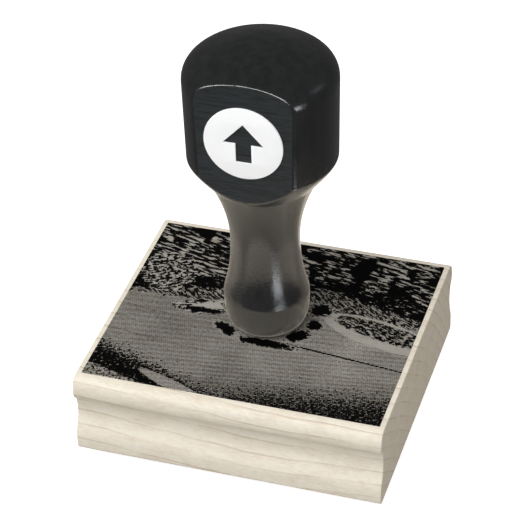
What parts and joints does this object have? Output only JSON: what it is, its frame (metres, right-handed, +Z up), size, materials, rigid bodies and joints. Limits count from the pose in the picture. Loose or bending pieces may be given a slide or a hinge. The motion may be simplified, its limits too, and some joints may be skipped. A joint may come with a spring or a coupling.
{
  "type": "rubber stamp",
  "caption": "Wood-mounted rubber stamp: moulded maple block with an index picture, foam-backed rubber die and a turned black knob handle that screws on.",
  "frame": {"origin": "middle of the printing face, on the surface that the stamp stands on", "axes": "+Z up along the handle, -Y the front with the flat and badge, X along the block's moulded edges and its grain"},
  "size_m": [0.0762, 0.0698, 0.104],
  "materials": {
    "die_rubber": "moulded red-brown rubber, matt",
    "adhesive_film": "clear double-sided film, satin",
    "cushion_foam": "closed-cell foam, matt",
    "maple": "pale maple, sanded, unvarnished",
    "index_film": "black line-screen print on thin film, satin",
    "bolt_steel": "zinc-plated steel",
    "insert_brass": "turned brass",
    "black_lacquer": "gloss black lacquer over turned hardwood",
    "badge_vinyl": "white vinyl, satin"
  },
  "bodies": {
    "mount": {"mount_block": "maple", "index_print": "index_film", "cushion_adhesive": "adhesive_film", "cushion": "cushion_foam"},
    "die": {"die_adhesive": "adhesive_film", "rubber_die": "die_rubber"},
    "bolt": {"hanger_bolt": "bolt_steel"},
    "grip": {"handle": "black_lacquer", "threaded_insert": "insert_brass", "front_badge": "badge_vinyl"}
  },
  "joints": [
    {"name": "cushion_press", "type": "slide", "parent": "mount", "child": "die", "axis": [0, 0, 1], "range_m": [0, 0.0004], "stiffness_N_per_m": 120000, "deforming": ["cushion"]},
    {"name": "handle_turn", "type": "hinge", "parent": "mount", "child": "bolt", "pos_m": [0, 0, 0], "axis": [0, 0, 1], "range_deg": [0, 3600]},
    {"name": "handle_lift", "type": "slide", "parent": "bolt", "child": "grip", "axis": [0, 0, 1], "range_m": [0, 0.008]}
  ],
  "couplings": [
    {"joint": "handle_lift", "follows": "handle_turn", "m_per_rad": 0.00012732}
  ]
}
